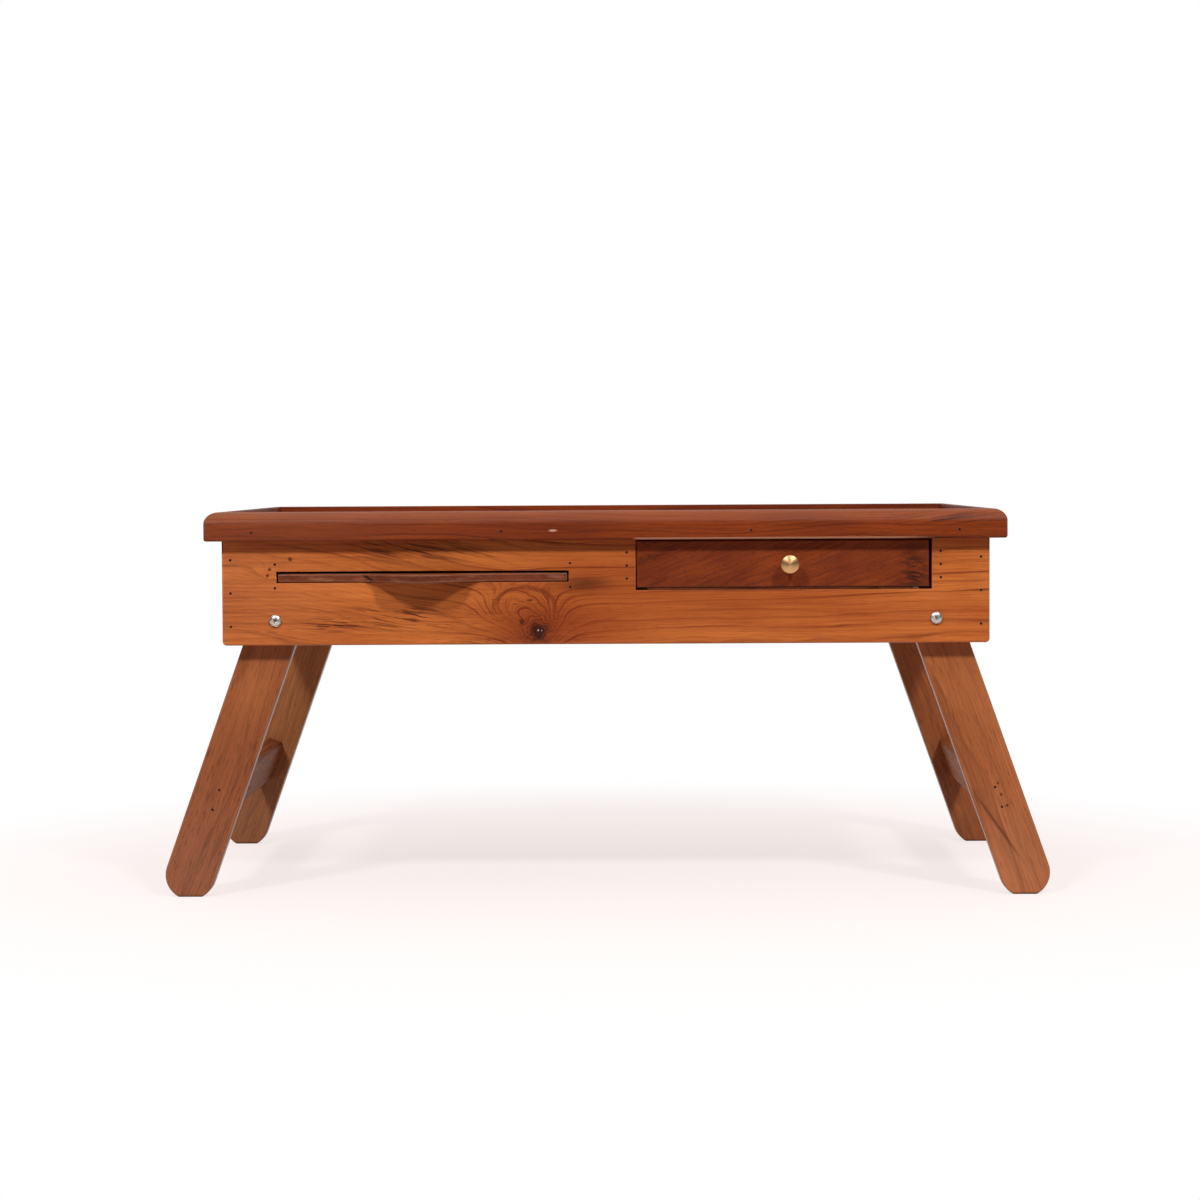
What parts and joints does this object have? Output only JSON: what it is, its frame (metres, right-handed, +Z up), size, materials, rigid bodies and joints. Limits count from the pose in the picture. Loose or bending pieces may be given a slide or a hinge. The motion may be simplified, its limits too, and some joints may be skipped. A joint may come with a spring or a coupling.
{
  "type": "folding lap desk",
  "caption": "Low wooden tray table with splayed legs that fold flat, a drawer with a round knob and a pull-out board with a finger tongue; stands over the lap in bed.",
  "frame": {"origin": "on the floor, under the middle of the desk's whole extent with its legs open and both slides closed", "axes": "+X to the right as the user of the drawer sees it, +Y to the back, +Z up"},
  "size_m": [0.6152, 0.365, 0.268],
  "materials": {
    "teak_apron": "varnished teak, semi-gloss",
    "teak_rim": "stained teak, semi-gloss",
    "teak_panel": "varnished teak, semi-gloss",
    "teak_leg": "varnished teak, semi-gloss",
    "teak_dark": "dark stained teak, satin",
    "wood_inner": "planed wood, thin sealer",
    "turned_brass": "turned and lacquered",
    "zinc_steel": "zinc plated",
    "nail_steel": "oxidised steel wire"
  },
  "bodies": {
    "table": {"tray_panel": "teak_panel", "rim_front": "teak_rim", "rim_rear": "teak_rim", "rim_left": "teak_rim", "rim_right": "teak_rim", "apron_front": "teak_apron", "apron_rear": "teak_apron", "apron_left": "teak_apron", "apron_right": "teak_apron", "drawer_partition_left": "wood_inner", "drawer_partition_right": "wood_inner", "drawer_runner_left": "wood_inner", "drawer_runner_right": "wood_inner", "slide_guide_left": "wood_inner", "slide_guide_right": "wood_inner", "pivot_bolts": "zinc_steel", "pivot_washers": "zinc_steel", "pivot_nuts": "zinc_steel", "corner_nails": "nail_steel", "partition_nails": "nail_steel", "guide_nails": "nail_steel", "rim_nails": "nail_steel"},
    "drawer": {"drawer_front": "teak_dark", "drawer_side_left": "wood_inner", "drawer_side_right": "wood_inner", "drawer_back": "wood_inner", "drawer_bottom": "wood_inner", "drawer_knob": "turned_brass", "knob_screw": "zinc_steel", "drawer_nails": "nail_steel"},
    "pull_out_board": {"slide_board": "teak_dark"},
    "legs_left": {"leg_front_left": "teak_leg", "leg_rear_left": "teak_leg", "stretcher_left": "teak_leg", "stretcher_nails_left": "nail_steel"},
    "legs_right": {"leg_front_right": "teak_leg", "leg_rear_right": "teak_leg", "stretcher_right": "teak_leg", "stretcher_nails_right": "nail_steel"}
  },
  "joints": [
    {"name": "drawer_slide", "type": "slide", "parent": "table", "child": "drawer", "axis": [0, -1, 0], "range_m": [0, 0.2]},
    {"name": "board_slide", "type": "slide", "parent": "table", "child": "pull_out_board", "axis": [0, -1, 0], "range_m": [0, 0.17]},
    {"name": "legs_left_fold", "type": "hinge", "parent": "table", "child": "legs_left", "pos_m": [-0.22729, 0.00745, 0.19325], "axis": [0, -1, 0], "range_deg": [0, 109.5]},
    {"name": "legs_right_fold", "type": "hinge", "parent": "table", "child": "legs_right", "pos_m": [0.22729, 0.00745, 0.19325], "axis": [0, 1, 0], "range_deg": [0, 109.5]}
  ]
}
